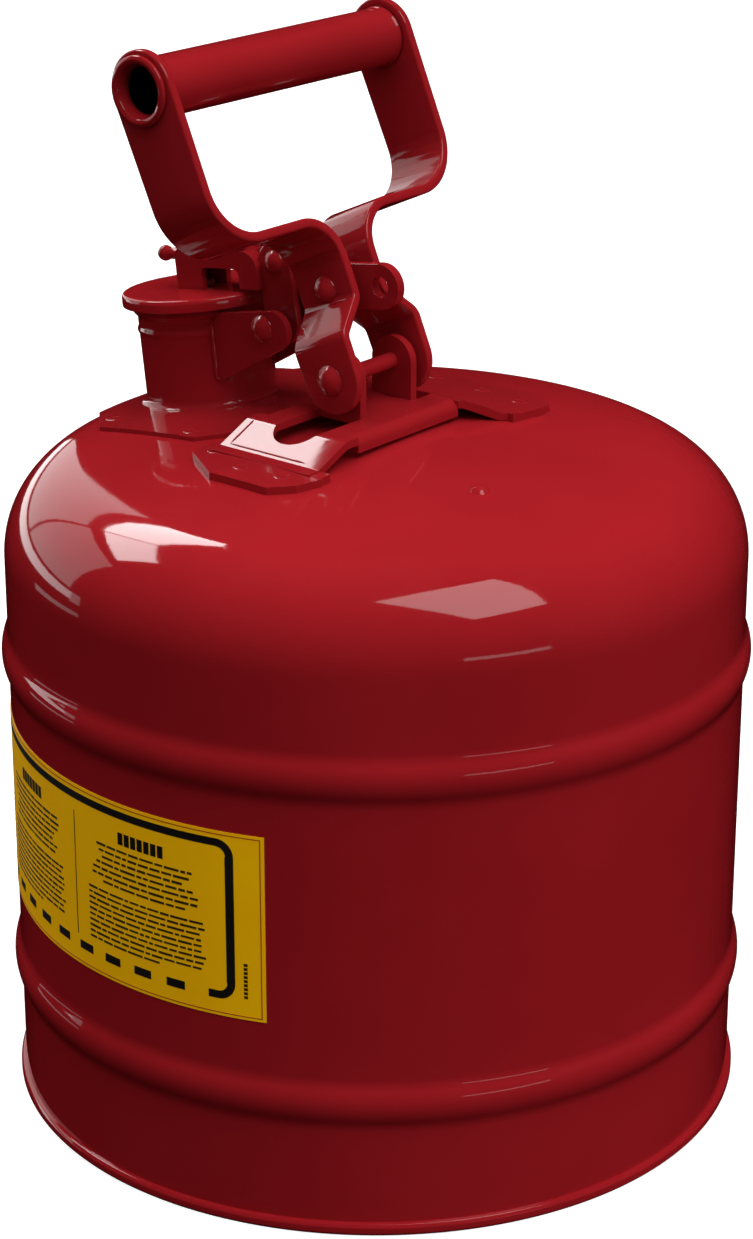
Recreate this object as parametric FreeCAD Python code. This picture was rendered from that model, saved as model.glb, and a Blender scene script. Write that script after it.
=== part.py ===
import FreeCAD, Part
import math
import os

# Self-closing metal safety can with a swing handle. Millimetres, +Z up, origin at bottom centre.
# The spout is on the -X side and the handle turns about an axis along Y.
os.makedirs("parts", exist_ok=True)
V = FreeCAD.Vector
Y_AXIS = V(0, 1, 0)
Z_AXIS = V(0, 0, 1)

# ---- can body ----
BODY_R = 118.5          # outer radius of the cylinder wall
BODY_WALL = 1.0
RIB_HEIGHT = 2.15       # how far the swaged ribs stand out
RIB_HALF = 9.1
RIB_LOW_Z = 44.5
RIB_HIGH_Z = 151.1
SHOULDER_Z = 183.0
SHOULDER_R = 31.0
CROWN_R = 498.0
CHIME_R = 120.25
CHIME_H = 4.3
PAN_Z = 6.0             # underside of the recessed bottom

# ---- spout and cap, in a frame tilted so its Z axis is square to the dome ----
SPOUT_TILT = 7.0
CAP_X = -74.5
CAP_Z = 254.5           # centre of the cap's top face
SPOUT_R = 21.5
SPOUT_WALL = 1.2
LIP_R = 22.6
CAP_R = 26.0
CAP_RIM = 4.2
HINGE_U = 38.1          # cap hinge, along and above the cap plane
HINGE_W = -9.6
SPOUT_EAR_Y0 = 11.5
SPOUT_EAR_Y1 = 14.0
EAR_END_R = 6.4         # rounded free end of a spout ear
HINGE_PIN_R = 2.0
LINK_U = 37.5           # link pin on the cap lever
LINK_W = 9.8

# ---- handle, in a frame leaning toward the spout ----
PIVOT_X = -3.0
PIVOT_Z = 240.0
LEAN = 24.2
GRIP_S = 100.0          # pivot to grip centre
STRAP_T = 3.1
STRAP_HALF_W = 11.0
STRAP_OUT_Y = 55.75     # strap mid-thickness, upper part
STRAP_NECK_Y = 6.6
STRAP_LEG_Y = 17.2
STRAP_JOG_S = 48.2      # where a strap turns inward below the hand opening
GRIP_R = 9.4
LINK_PIN_S = 27.2       # link pin on the handle
NECK_PIN_R = 2.0
NECK_HEAD_R = 4.3

# ---- saddle bracket ----
SADDLE_TOP = 228.2
SADDLE_T = 2.4
SADDLE_X0 = -23.0
SADDLE_X1 = 17.0
EAR_Y0 = 11.0
EAR_Y1 = 13.8
SADDLE_FOOT_X = 29.0     # far foot flares out to here
SKIRT_NEAR = -29.0      # the downturned edges run from here
SKIRT_FAR = 20.0        # to here
EAR_R = 8.0
SLOT_R = 8.4            # relief slots beside the ears

PIN_R = 2.6
CLEAR = 0.06
LINK_T = 3.3
LINK_BIG_R = 7.2
LINK_LOBE = (2.8, 267.4)  # padlock hole in the link's free end
LINK_SLIP = 2.3         # free travel of the lever pin in the link's slot
STUD_U = 2.4
STUD_R = 2.0
COIL_PITCH = 1.35       # closing springs
COIL_TURNS = 4.0
COIL_R = 3.7
COIL_WIRE_R = 0.55
COIL_Y = 5.3
NOSE_U = -9.6
NOSE_W = 11.0
NOSE_Y = -4.6


def line(a, b):
    return Part.makeLine(a, b)


def face(edges):
    return Part.Face(Part.Wire(Part.__sortEdges__(edges)))


def polygon(points):
    return Part.Face(Part.makePolygon(points + [points[0]]))


def revolve(shape):
    return shape.revolve(V(0, 0, 0), Z_AXIS, 360)


def turn(shape, degrees, x=0.0, z=0.0):
    out = shape.copy()
    out.rotate(V(0, 0, 0), Y_AXIS, degrees)
    out.translate(V(x, 0, z))
    return out


def to_spout(shape):
    return turn(shape, -SPOUT_TILT, CAP_X, CAP_Z)


def to_handle(shape):
    return turn(shape, -LEAN, PIVOT_X, PIVOT_Z)


def spout_point(u, w):
    p = Part.Vertex(u, 0, w)
    q = to_spout(p).Point
    return (q.x, q.z)


def handle_point(s):
    q = to_handle(Part.Vertex(0, 0, s)).Point
    return (q.x, q.z)


def mirror_y(shape):
    return shape.mirror(V(0, 0, 0), Y_AXIS)


def cyl_y(r, y0, y1, x, z):
    return Part.makeCylinder(r, y1 - y0, V(x, y0, z), Y_AXIS)


def cyl_z(r, z0, z1, x=0.0, y=0.0):
    return Part.makeCylinder(r, z1 - z0, V(x, y, z0))


def box(x0, x1, y0, y1, z0, z1):
    return Part.makeBox(x1 - x0, y1 - y0, z1 - z0, V(x0, y0, z0))


def plate_xz(points, y0, y1):
    flat = polygon([V(p[0], y0, p[1]) for p in points])
    return flat.extrude(V(0, y1 - y0, 0))


def capsule(a, ra, b, rb, y0, y1):
    """Plate between y0 and y1 whose outline wraps two circles."""
    dx = b[0] - a[0]
    dz = b[1] - a[1]
    dist = math.hypot(dx, dz)
    base = math.atan2(dz, dx)
    side = math.acos((ra - rb) / dist)
    pts = []
    for c, r, ang in ((a, ra, base + side), (b, rb, base + side), (b, rb, base - side), (a, ra, base - side)):
        pts.append((c[0] + r * math.cos(ang), c[1] + r * math.sin(ang)))
    body = plate_xz(pts, y0, y1)
    body = body.fuse(cyl_y(ra, y0, y1, a[0], a[1]))
    body = body.fuse(cyl_y(rb, y0, y1, b[0], b[1]))
    return body.removeSplitter()


def thick_path(points, radii, thickness):
    """Closed outline of a bent strip: centre line points with a bend radius at each inner point.
    Points are FreeCAD vectors in one plane; radii has one entry per inner point."""
    normal = (points[1] - points[0]).cross(points[2] - points[1])
    if normal.Length < 1e-9:
        normal = (points[1] - points[0]).cross(points[3] - points[2])
    normal.normalize()
    sides = []
    for sign in (1, -1):
        edges = []
        last = None
        for i, p in enumerate(points):
            if i == 0:
                d = (points[1] - p).normalize()
                last = p + normal.cross(d) * (sign * thickness / 2)
                start = last
                continue
            d0 = (p - points[i - 1]).normalize()
            if i == len(points) - 1:
                end = p + normal.cross(d0) * (sign * thickness / 2)
                edges.append(line(last, end))
                continue
            d1 = (points[i + 1] - p).normalize()
            r = radii[i - 1]
            ang = d0.getAngle(d1)
            back = r * math.tan(ang / 2)
            t0 = p - d0 * back
            t1 = p + d1 * back
            inward = (d1 - d0).normalize()
            centre = p + inward * (r / math.cos(ang / 2))
            bend = normal.cross(d0).dot(inward)
            rr = r - sign * thickness / 2 if bend > 0 else r + sign * thickness / 2
            a0 = centre + (t0 - centre).normalize() * rr
            a1 = centre + (t1 - centre).normalize() * rr
            mid = centre - inward * rr
            edges.append(line(last, a0))
            edges.append(Part.Arc(a0, mid, a1).toShape())
            last = a1
        sides.append((start, edges, end))
    edges = sides[0][1] + sides[1][1]
    edges.append(line(sides[0][0], sides[1][0]))
    edges.append(line(sides[0][2], sides[1][2]))
    return face(edges)


def dome_edges(off):
    """Half outline of the shoulder and crown, moved outward by off, from the wall up to the axis."""
    span = BODY_R - SHOULDER_R
    ang = math.acos(span / (CROWN_R - SHOULDER_R))
    crown_z = SHOULDER_Z - (CROWN_R - SHOULDER_R) * math.sin(ang)
    r = SHOULDER_R + off
    p0 = V(span + r, 0, SHOULDER_Z)
    pm = V(span + r * math.cos(ang / 2), 0, SHOULDER_Z + r * math.sin(ang / 2))
    p1 = V(span + r * math.cos(ang), 0, SHOULDER_Z + r * math.sin(ang))
    big = CROWN_R + off
    half = (math.pi / 2 + ang) / 2
    p2 = V(big * math.cos(half), 0, crown_z + big * math.sin(half))
    p3 = V(0, 0, crown_z + big)
    return [Part.Arc(p0, pm, p1).toShape(), Part.Arc(p1, p2, p3).toShape()], p0, p3


def dome_solid(off):
    """Everything under the dome surface, used to trim pieces that sit on it."""
    edges, p0, p3 = dome_edges(off)
    low = V(p0.x, 0, 150)
    axis = V(0, 0, 150)
    edges += [line(p0, low), line(low, axis), line(axis, p3)]
    return revolve(face(edges))


def rib_edges(z_mid, inset):
    """Three tangent arcs of one swaged rib, from its lower end to its upper end."""
    ang = 2 * math.atan(RIB_HEIGHT / RIB_HALF)
    total = RIB_HALF / math.sin(ang)
    root = 0.44 * total
    crest = total - root
    out = []
    xr = BODY_R + root
    xc = BODY_R + RIB_HEIGHT - crest
    rr = root + inset
    rc = crest - inset
    low = V(BODY_R - inset, 0, z_mid - RIB_HALF)
    j0 = V(xc + rc * math.cos(ang), 0, z_mid - rc * math.sin(ang))
    j1 = V(xc + rc * math.cos(ang), 0, z_mid + rc * math.sin(ang))
    top = V(BODY_R - inset, 0, z_mid + RIB_HALF)
    m0 = V(xr - rr * math.cos(ang / 2), 0, z_mid - RIB_HALF + rr * math.sin(ang / 2))
    m1 = V(xr - rr * math.cos(ang / 2), 0, z_mid + RIB_HALF - rr * math.sin(ang / 2))
    out.append(Part.Arc(low, m0, j0).toShape())
    out.append(Part.Arc(j0, V(xc + rc, 0, z_mid), j1).toShape())
    out.append(Part.Arc(j1, m1, top).toShape())
    return out, low, top


def wall_edges(inset, z_bottom):
    start = V(BODY_R - inset, 0, z_bottom)
    low_rib, a, b = rib_edges(RIB_LOW_Z, inset)
    high_rib, c, d = rib_edges(RIB_HIGH_Z, inset)
    top_edges, p0, p3 = dome_edges(-inset)
    edges = [line(start, a)] + low_rib + [line(b, c)] + high_rib + [line(d, p0)] + top_edges
    return edges, start, p3


def spout_core(r):
    return to_spout(cyl_z(r, -60, 20))


def body_shell():
    outer, o0, o1 = wall_edges(0.0, 3.0)
    inner, i0, i1 = wall_edges(BODY_WALL, 3.0)
    shell = revolve(face(outer + inner + [line(o0, i0), line(o1, i1)]))
    return shell.cut(spout_core(SPOUT_R))


def bottom_pan():
    wall = BODY_R - BODY_WALL
    pts = [V(0, 0, PAN_Z), V(wall - 3.2, 0, PAN_Z), V(wall - 1.2, 0, PAN_Z - 2.0), V(wall - 1.2, 0, 0.6)]
    pts += [V(wall - 0.6, 0, 0), V(CHIME_R - 1.0, 0, 0), V(CHIME_R, 0, 1.0), V(CHIME_R, 0, CHIME_H - 1.2)]
    pts += [V(CHIME_R - 0.7, 0, CHIME_H - 0.25), V(BODY_R, 0, CHIME_H), V(BODY_R, 0, 3.0), V(wall, 0, 3.0)]
    pts += [V(wall, 0, PAN_Z + 1.0), V(0, 0, PAN_Z + 1.0)]
    return revolve(polygon(pts))


def spout_neck():
    inner = SPOUT_R - SPOUT_WALL
    pts = [V(inner, 0, -43), V(SPOUT_R, 0, -43), V(SPOUT_R, 0, -13.2), V(SPOUT_R + 0.6, 0, -12.2)]
    pts += [V(SPOUT_R, 0, -11.2), V(SPOUT_R, 0, -7.4), V(LIP_R, 0, -6.6), V(LIP_R, 0, -4.6)]
    pts += [V(LIP_R - 0.3, 0, -4.3)]
    pts += [V(inner + 0.3, 0, -4.3), V(inner, 0, -4.6)]
    return to_spout(revolve(polygon(pts)))


def spout_flange():
    outline = [V(-97, -26, 190), V(-80, -43.0, 190), V(-39, -43.0, 190), V(-31, -35.5, 190)]
    outline += [V(-31, 35.5, 190), V(-39, 43.0, 190), V(-80, 43.0, 190), V(-97, 26, 190)]
    prism = polygon(outline).extrude(V(0, 0, 50))
    layer = dome_solid(1.4).common(prism).cut(dome_solid(0.0))
    a = V(SPOUT_R, 0, -34.2)
    b = V(SPOUT_R + 2.8, 0, -37.0)
    m = V(SPOUT_R + 0.82, 0, -36.18)
    low0 = V(SPOUT_R + 2.8, 0, -40)
    low1 = V(SPOUT_R, 0, -40)
    collar = revolve(face([Part.Arc(a, m, b).toShape(), line(b, low0), line(low0, low1), line(low1, a)]))
    collar = to_spout(collar).cut(dome_solid(0.0))
    collar = collar.cut(layer)
    return layer.cut(spout_core(SPOUT_R)).fuse(collar)


def spout_ear(sign):
    end = (HINGE_U + 4.1, HINGE_W - 0.5)
    pts = [(12, -5.2), (24, -5.2), (end[0], end[1] + EAR_END_R), (end[0] + 2.6, end[1] - 5.9)]
    pts += [(17.5, -28.0), (12, -28.0)]
    ear = plate_xz(pts, SPOUT_EAR_Y0, SPOUT_EAR_Y1)
    ear = ear.fuse(cyl_y(EAR_END_R, SPOUT_EAR_Y0, SPOUT_EAR_Y1, end[0], end[1])).removeSplitter()
    ear = ear.cut(cyl_z(LIP_R + 0.05, -8.0, 0)).cut(cyl_z(SPOUT_R + 0.65, -14, -10))
    ear = ear.cut(cyl_z(SPOUT_R, -60, 0))
    ear = ear.cut(cyl_y(HINGE_PIN_R + 0.05, 0, 20, HINGE_U, HINGE_W))
    ear = to_spout(ear)
    return ear if sign > 0 else mirror_y(ear)


def domed_pin(r, half, head_r, head_h):
    """Headed pin along Y, centred on the origin; heads start at +-half."""
    pin = cyl_y(r, -half, half, 0, 0)
    bulge = (head_r ** 2 + head_h ** 2) / (2 * head_h)
    ball = Part.makeSphere(bulge, V(0, half + head_h - bulge, 0))
    cap = ball.common(cyl_y(head_r, half, half + head_h + 1, 0, 0))
    return pin.fuse(cap).fuse(mirror_y(cap)).removeSplitter()


def placed(shape, point):
    out = shape.copy()
    out.translate(V(point[0], 0, point[1]))
    return out


def closing_springs():
    """Two coils round the hinge pin, between the lever plates and the spout ears."""
    both = []
    for side in (1, -1):
        helix = Part.makeHelix(COIL_PITCH, COIL_PITCH * COIL_TURNS, COIL_R)
        profile = Part.Wire(Part.makeCircle(COIL_WIRE_R, V(COIL_R, 0, 0), Y_AXIS))
        coil = Part.Wire(helix).makePipeShell([profile], True, True)
        coil.rotate(V(0, 0, 0), V(1, 0, 0), -90)
        coil.translate(V(0, COIL_Y, 0))
        leg = Part.makeCylinder(COIL_WIRE_R - 0.05, 5.0, V(COIL_R, COIL_Y, 0), V(0, 0, -1))
        coil = coil.fuse(leg)
        both.append(coil if side > 0 else mirror_y(coil))
    made = Part.makeCompound(both)
    return placed(made, spout_point(HINGE_U, HINGE_W))


def flame_arrester():
    tube = cyl_z(18.4, -92, -6.8).cut(cyl_z(17.8, -91.4, -6))
    rim = cyl_z(20.1, -7.4, -6.8).cut(cyl_z(17.8, -8, -6))
    return to_spout(tube.fuse(rim).removeSplitter())


def arrester_retainer():
    ring = Part.makeTorus(19.5, 0.6, V(0, 0, -6.1))
    return to_spout(ring)


def saddle_bracket():
    mid = SADDLE_TOP - SADDLE_T / 2
    foot = SADDLE_FOOT_X
    pts = [(-52, 220.9), (-47.5, 221.3), (-34.5, mid), (21.5, mid), (31, 222.0), (36, 221.7)]
    strip = thick_path([V(SADDLE_X0, p[0], p[1]) for p in pts], [2.5, 4.0, 4.0, 2.5], SADDLE_T)
    arch = strip.extrude(V(foot - SADDLE_X0, 0, 0))
    flare = [V(SADDLE_X1, -60, 200), V(SADDLE_X1, SKIRT_FAR, 200), V(foot - 2, 33, 200)]
    flare += [V(foot + 9, 33, 200), V(foot + 9, -60, 200)]
    arch = arch.cut(polygon(flare).extrude(V(0, 0, 60)))
    x0 = SADDLE_X0 + SADDLE_T / 2
    x1 = SADDLE_X1 - SADDLE_T / 2
    y0 = SKIRT_NEAR
    y1 = SKIRT_FAR
    skirt_path = [V(x0, y0, 223.2), V(x0, y0, mid), V(x1, y0, mid), V(x1, y0, 223.2)]
    skirts = thick_path(skirt_path, [2.4, 2.4], SADDLE_T).extrude(V(0, y1 - y0, 0))
    corner = box(SADDLE_X0 - 1, SADDLE_X0 + 3.6, y0, y1, mid - 3, 230).cut(skirts)
    other = box(SADDLE_X1 - 3.6, SADDLE_X1 + 1, y0, y1, mid - 3, 230).cut(skirts)
    body = arch.cut(corner).cut(other).fuse(skirts)
    layer = dome_solid(SADDLE_T).cut(dome_solid(0.0))
    near = [(-28, -47), (-28, -55), (-12, -65), (11, -65), (18, -59), (21, -52), (21, -47)]
    far = [(-24, 33), (-26, 50), (-14, 60), (16, 60), (27, 55), (foot, 49), (foot, 33)]
    for sign, out, end in ((-1, near, 33.1), (1, far, 18.5)):
        flat = polygon([V(p[0], p[1], 200) for p in out]).extrude(V(0, 0, 40))
        body = body.fuse(layer.common(flat))
        slot = box(PIVOT_X - SLOT_R, PIVOT_X + SLOT_R, EAR_Y1, end, 220, 232)
        slot = slot.fuse(cyl_z(SLOT_R, 220, 232, PIVOT_X, end))
        body = body.cut(slot if sign > 0 else mirror_y(slot))
    body = body.cut(dome_solid(0.0))
    ear = box(PIVOT_X - EAR_R, PIVOT_X + EAR_R, EAR_Y0, EAR_Y1, mid, PIVOT_Z)
    ear = ear.fuse(cyl_y(EAR_R, EAR_Y0, EAR_Y1, PIVOT_X, PIVOT_Z))
    body = body.fuse(ear).fuse(mirror_y(ear))
    body = body.cut(cyl_y(PIN_R, -20, 20, PIVOT_X, PIVOT_Z))
    return body.removeSplitter()


def side_outline():
    """Side view of a strap: hull of the rounded lower end and the larger upper end."""
    return capsule((0, 0), STRAP_HALF_W, (0, GRIP_S), STRAP_HALF_W + 1.3, 0, 70)


def handle_strap(sign):
    pts = [(STRAP_OUT_Y, 116), (STRAP_OUT_Y, STRAP_JOG_S), (STRAP_NECK_Y, STRAP_JOG_S), (STRAP_NECK_Y, 22.3)]
    pts += [(STRAP_LEG_Y, 12.3), (STRAP_LEG_Y, -14)]
    strip = thick_path([V(-20, p[0], p[1]) for p in pts], [17.0, 13.0, 4.5, 4.5], STRAP_T)
    strap = strip.extrude(V(40, 0, 0)).common(side_outline())
    strap = strap.cut(cyl_y(PIN_R + CLEAR, 0, 30, 0, 0)).cut(cyl_y(NECK_PIN_R, 0, 30, 0, LINK_PIN_S))
    strap = strap.cut(cyl_y(GRIP_R, 50, 60, 0, GRIP_S))
    seat = cyl_y(NECK_HEAD_R + 0.05, STRAP_NECK_Y + STRAP_T / 2, 12, 0, LINK_PIN_S)
    strap = strap.cut(seat.common(box(-6, 6, 0, 12, 20, LINK_PIN_S)))
    if sign < 0:
        strap = mirror_y(strap)
    return to_handle(strap)


def grip_tube():
    end = STRAP_OUT_Y + STRAP_T / 2
    pts = [V(7.4, 0, 0), V(GRIP_R, 0, 0), V(GRIP_R, 0, end), V(10.4, 0, end), V(10.9, 0, end + 0.7)]
    pts += [V(10.5, 0, end + 1.5), V(9.6, 0, end + 1.9), V(8.6, 0, end + 1.5), V(7.4, 0, end - 1.0)]
    half = revolve(polygon(pts))
    half.rotate(V(0, 0, 0), V(1, 0, 0), -90)
    tube = half.fuse(mirror_y(half)).removeSplitter()
    tube.translate(V(0, 0, GRIP_S))
    return to_handle(tube)


def handle_link_pin():
    pin = domed_pin(NECK_PIN_R, STRAP_NECK_Y + STRAP_T / 2, NECK_HEAD_R, 2.4)
    return placed(pin, handle_point(LINK_PIN_S))


def link_spacers():
    inner = STRAP_NECK_Y - STRAP_T / 2
    ring = cyl_y(4.4, 1.72, inner, 0, 0).cut(cyl_y(NECK_PIN_R, 0, inner + 1, 0, 0))
    return placed(Part.makeCompound([ring, mirror_y(ring)]), handle_point(LINK_PIN_S))


def link_plate():
    b = handle_point(LINK_PIN_S)
    c = spout_point(LINK_U, LINK_W)
    half = LINK_T / 2
    dist = math.hypot(c[0] - b[0], c[1] - b[1])
    ux = (c[0] - b[0]) / dist
    uz = (c[1] - b[1]) / dist
    end = (c[0] + LINK_SLIP * ux, c[1] + LINK_SLIP * uz)
    plate = capsule(end, 4.6, b, LINK_BIG_R, -half, half)
    plate = plate.fuse(capsule(b, LINK_BIG_R, LINK_LOBE, LINK_BIG_R, -half, half))
    inner = (c[0] - 0.05 * ux, c[1] - 0.05 * uz)
    slot = capsule(inner, 2.0, end, 2.0001, -3, 3)
    plate = plate.cut(cyl_y(3.25, -3, 3, LINK_LOBE[0], LINK_LOBE[1]))
    plate = plate.cut(cyl_y(NECK_PIN_R + CLEAR, -3, 3, b[0], b[1]))
    plate = plate.cut(slot)
    return plate.removeSplitter()


def cap_lever():
    top = 13.3
    edges = []
    a = [V(-3.5, -7, 0), V(-3.5, -7, top - 3), V(-0.5, -7, top), V(26, -7, top), V(32, -7, top - 6)]
    a += [V(32, -7, 1.2), V(24, -7, 1.2), V(24, -7, 5.0), V(21.5, -7, 7.5), V(10, -7, 7.5), V(7.5, -7, 5.0)]
    a.append(V(7.5, -7, 0))
    arcs = {1: V(-2.62, -7, top - 0.88), 3: V(30.24, -7, top - 1.76)}
    arcs.update({7: V(23.27, -7, 6.77), 9: V(8.23, -7, 6.77)})
    for i in range(len(a)):
        b = a[(i + 1) % len(a)]
        if i in arcs:
            edges.append(Part.Arc(a[i], arcs[i], b).toShape())
        else:
            edges.append(line(a[i], b))
    body = face(edges).extrude(V(0, 14, 0))
    body = body.cut(box(-1.1, 40, -4.7, 4.7, -1, top - 2.4))
    body = body.cut(box(27.4, 40, -2.4, 2.4, 8, top + 1))
    body = body.cut(Part.makeCylinder(1.2, 8, V(-6, NOSE_Y, NOSE_W), V(1, 0, 0)))
    return to_spout(body)


def lever_plate(sign):
    y0 = 2.2
    y1 = 4.7
    plate = capsule((LINK_U, LINK_W), 5.2, (HINGE_U, HINGE_W), 6.2, y0, y1)
    plate = plate.fuse(box(11, LINK_U, y0, y1, 7.6, 10.9)).fuse(box(24.2, LINK_U, y0, y1, 1.4, 10.9))
    plate = plate.removeSplitter().cut(cyl_y(1.6, 0, 9, LINK_U, LINK_W))
    plate = plate.cut(cyl_y(HINGE_PIN_R + CLEAR, 0, 9, HINGE_U, HINGE_W))
    plate = to_spout(plate)
    return plate if sign > 0 else mirror_y(plate)


def lever_link_pin():
    return placed(domed_pin(1.6, 4.7, 3.9, 2.1), spout_point(LINK_U, LINK_W))


def cap_hinge_pin():
    return placed(domed_pin(HINGE_PIN_R, SPOUT_EAR_Y1, 4.4, 2.6), spout_point(HINGE_U, HINGE_W))


def handle_pivot_pin():
    gap = STRAP_LEG_Y + STRAP_T / 2 + 0.35
    return placed(domed_pin(PIN_R, gap, 4.8, 2.8), (PIVOT_X, PIVOT_Z))


def nose_rivet():
    shank = Part.makeCylinder(1.2, -1.1 - NOSE_U, V(NOSE_U, NOSE_Y, NOSE_W), V(1, 0, 0))
    neck = Part.makeCylinder(1.9, -3.5 - NOSE_U, V(NOSE_U, NOSE_Y, NOSE_W), V(1, 0, 0))
    ball = Part.makeSphere(2.6, V(NOSE_U, NOSE_Y, NOSE_W))
    return to_spout(ball.fuse(shank).fuse(neck).removeSplitter())


def cap_disc():
    pts = [V(0, 0, 0), V(CAP_R - 1.1, 0, 0), V(CAP_R - 0.3, 0, -0.35), V(CAP_R, 0, -1.1)]
    pts += [V(CAP_R, 0, -CAP_RIM), V(24.4, 0, -CAP_RIM), V(24.4, 0, -1.4), V(0, 0, -1.4)]
    disc = revolve(polygon(pts)).cut(cyl_z(STUD_R, -5, 2, STUD_U))
    return to_spout(disc)


def cap_gasket():
    return to_spout(cyl_z(24.0, -4.15, -1.4).cut(cyl_z(STUD_R, -5, 2, STUD_U)))


def gasket_retainer():
    return to_spout(cyl_z(9.0, -5.25, -4.15).cut(cyl_z(STUD_R, -6, 2, STUD_U)))


def cap_stud():
    stud = cyl_z(STUD_R, -6.6, 2.0, STUD_U).fuse(cyl_z(3.9, -6.6, -5.25, STUD_U))
    stud = stud.fuse(cyl_z(3.3, 0, 2.2, STUD_U))
    return to_spout(stud.removeSplitter())


def warning_label():
    ring = cyl_z(BODY_R + 0.3, 70.6, 131.7).cut(cyl_z(BODY_R, 60, 140))
    wedge = Part.makeCylinder(140, 80, V(0, 0, 60), Z_AXIS, 128)
    wedge.rotate(V(0, 0, 0), Z_AXIS, 166)
    return ring.common(wedge)


NODES = {
    "body_shell": body_shell,
    "bottom_pan": bottom_pan,
    "spout_neck": spout_neck,
    "spout_flange": spout_flange,
    "spout_ear_near": lambda: spout_ear(-1),
    "spout_ear_far": lambda: spout_ear(1),
    "cap_hinge_pin": cap_hinge_pin,
    "closing_springs": closing_springs,
    "flame_arrester": flame_arrester,
    "arrester_retainer": arrester_retainer,
    "saddle_bracket": saddle_bracket,
    "handle_pivot_pin": handle_pivot_pin,
    "warning_label": warning_label,
    "handle_strap_near": lambda: handle_strap(-1),
    "handle_strap_far": lambda: handle_strap(1),
    "grip_tube": grip_tube,
    "handle_link_pin": handle_link_pin,
    "link_spacers": link_spacers,
    "link_plate": link_plate,
    "cap_lever": cap_lever,
    "lever_plate_near": lambda: lever_plate(-1),
    "lever_plate_far": lambda: lever_plate(1),
    "lever_link_pin": lever_link_pin,
    "nose_rivet": nose_rivet,
    "cap_disc": cap_disc,
    "cap_gasket": cap_gasket,
    "gasket_retainer": gasket_retainer,
    "cap_stud": cap_stud,
}

for name, make in NODES.items():
    shape = make()
    if not shape.isValid() or not shape.Solids:
        raise RuntimeError("bad shape: " + name)
    shape.exportStep("parts/" + name + ".step")
    print(name, len(shape.Solids), round(shape.Volume, 1))
print("cap hinge", spout_point(HINGE_U, HINGE_W), "lever pin", spout_point(LINK_U, LINK_W))
print("handle link pin", handle_point(LINK_PIN_S))
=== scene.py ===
import math
import random

import bmesh
import bpy
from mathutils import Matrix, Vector

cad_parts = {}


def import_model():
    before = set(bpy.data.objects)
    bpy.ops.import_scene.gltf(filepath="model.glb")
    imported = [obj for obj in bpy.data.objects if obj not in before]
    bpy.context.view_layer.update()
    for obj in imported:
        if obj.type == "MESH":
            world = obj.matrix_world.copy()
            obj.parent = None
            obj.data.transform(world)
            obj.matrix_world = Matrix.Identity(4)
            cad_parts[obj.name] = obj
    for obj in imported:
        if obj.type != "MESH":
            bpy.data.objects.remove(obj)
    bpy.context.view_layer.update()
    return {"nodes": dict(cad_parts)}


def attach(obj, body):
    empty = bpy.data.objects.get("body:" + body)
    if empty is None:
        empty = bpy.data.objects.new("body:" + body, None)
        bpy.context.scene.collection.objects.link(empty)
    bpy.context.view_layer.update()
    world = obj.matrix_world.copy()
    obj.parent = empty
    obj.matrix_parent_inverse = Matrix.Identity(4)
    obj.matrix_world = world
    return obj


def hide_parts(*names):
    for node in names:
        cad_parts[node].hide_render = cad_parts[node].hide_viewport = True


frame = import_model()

# Lengths are millimetres in the part's frame unless said otherwise; world(), spout() and handle()
# turn them into metres. The origin is the centre of the resting plane and the spout is toward -X.
MM = 0.001
scene = bpy.context.scene

# Can: wall, ribs, shoulder and crowned top.
BODY_R = 118.5
WALL = 1.0
RIB_HEIGHT = 2.15
RIB_HALF = 9.1
RIBS = (44.5, 151.1)
SHOULDER_Z = 183.0
SHOULDER_R = 31.0
CROWN_R = 498.0
# Spout: its frame starts at the middle of the closed cap's top, with u toward the hinge and w up.
SPOUT_TILT = math.radians(7.0)
CAP = (-74.5, 254.5)
SPOUT_R = 21.5
HINGE = (38.1, -9.6)
LINK = (37.5, 9.8)
# Handle: its frame starts at the pivot, with s up along the straps.
PIVOT = (-3.0, 240.0)
LEAN = math.radians(24.2)
GRIP_S = 100.0
GRIP_R = 9.4
STRAP_T = 3.1
STRAP_Y = 55.75
LINK_PIN_S = 27.2
# Label: first and last azimuth in degrees, lower and upper edge; then its film's outer radius, its
# ink's two radii, the degrees to a millimetre round the can, and the width of the side borders.
LABEL = (-194.0, -66.4, 70.6, 131.7)
LABEL_TOP_R = BODY_R + 0.20
INK_FROM = BODY_R + 0.15
INK_TO = BODY_R + 0.27
DEG_PER_MM = 180 / math.pi / (BODY_R + 0.25)
BORDER_DEG = 1.35

# Steps round the can, round the spout and round smaller rings.
CAN_STEPS = 240
SPOUT_STEPS = 128
RING_STEPS = 96


# ---------- frames of the mechanism ----------

def world(x, y, z):
    """A point in the part's frame, in metres."""
    return Vector((x * MM, y * MM, z * MM))


def spout(u, y, w):
    """A point given in the spout's tilted frame."""
    c, s = math.cos(SPOUT_TILT), math.sin(SPOUT_TILT)
    return world(CAP[0] + u * c - w * s, y, CAP[1] + u * s + w * c)


def handle(x, y, s):
    """A point given in the leaning handle's frame."""
    c, n = math.cos(LEAN), math.sin(LEAN)
    return world(PIVOT[0] + x * c - s * n, y, PIVOT[1] + x * n + s * c)


def on_wall(degrees, r, z):
    """A point at an azimuth and a distance from the can's axis."""
    a = math.radians(degrees)
    return world(r * math.cos(a), r * math.sin(a), z)


def crown():
    """Elevation where the shoulder meets the crown, in degrees, and the height of the crown's centre."""
    meet = math.acos((BODY_R - SHOULDER_R) / (CROWN_R - SHOULDER_R))
    return math.degrees(meet), SHOULDER_Z - (CROWN_R - SHOULDER_R) * math.sin(meet)


def dome_z(x, y):
    """Height of the can's top at a point inside the shoulder."""
    return crown()[1] + math.sqrt(CROWN_R ** 2 - x * x - y * y)


# ---------- mesh tools ----------

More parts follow.
